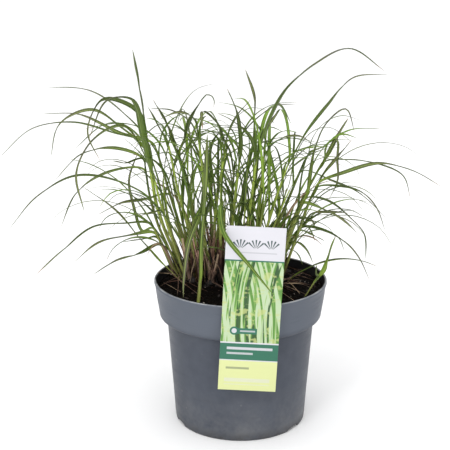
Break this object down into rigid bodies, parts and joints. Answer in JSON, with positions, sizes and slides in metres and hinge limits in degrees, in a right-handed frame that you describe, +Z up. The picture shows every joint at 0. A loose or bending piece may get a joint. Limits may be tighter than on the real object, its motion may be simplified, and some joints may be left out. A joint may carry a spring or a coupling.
{
  "type": "potted ornamental grass",
  "caption": "Clump of narrow arching grass leaves growing from compost in a round plastic nursery pot with a collared rim, with a plain plant label hooked over the front of the rim.",
  "frame": {"origin": "on the pot's axis, on the flat underside that it stands on", "axes": "+Z up, -Y towards the side with the label, +X to the right seen from that side"},
  "size_m": [0.5, 0.3334, 0.4102],
  "materials": {
    "pot_plastic": "dark blue-grey moulded nursery plastic, soft sheen",
    "compost": "moist, almost black peat compost with fibres",
    "label_card": "printed plastic card in white, green and pale yellow-green, no lettering",
    "grass_leaf": "satin green leaf, paler yellow-green at the foot, with a pale midrib",
    "dry_stalk": "dead, dry reddish-tan stubs and straws"
  },
  "bodies": {
    "root": {"pot": "pot_plastic", "compost": "compost", "label": "label_card", "shoot_01": "grass_leaf", "shoot_02": "grass_leaf", "shoot_03": "grass_leaf", "shoot_04": "grass_leaf", "shoot_05": "grass_leaf", "shoot_06": "grass_leaf", "shoot_07": "grass_leaf", "shoot_08": "grass_leaf", "shoot_09": "grass_leaf", "shoot_10": "grass_leaf", "shoot_11": "grass_leaf", "shoot_12": "grass_leaf", "shoot_13": "grass_leaf", "shoot_14": "grass_leaf", "shoot_15": "grass_leaf", "shoot_16": "grass_leaf", "shoot_17": "grass_leaf", "shoot_18": "grass_leaf", "shoot_19": "grass_leaf", "shoot_20": "grass_leaf", "shoot_21": "grass_leaf", "shoot_22": "grass_leaf", "shoot_23": "grass_leaf", "shoot_24": "grass_leaf", "shoot_25": "grass_leaf", "shoot_26": "grass_leaf", "shoot_27": "grass_leaf", "shoot_28": "grass_leaf", "shoot_29": "grass_leaf", "shoot_30": "grass_leaf", "dry_culms_01": "dry_stalk", "dry_culms_02": "dry_stalk", "dry_culms_03": "dry_stalk", "dry_culms_04": "dry_stalk", "dry_culms_05": "dry_stalk", "dry_culms_06": "dry_stalk", "dry_culms_07": "dry_stalk", "dry_culms_08": "dry_stalk"}
  },
  "joints": []
}
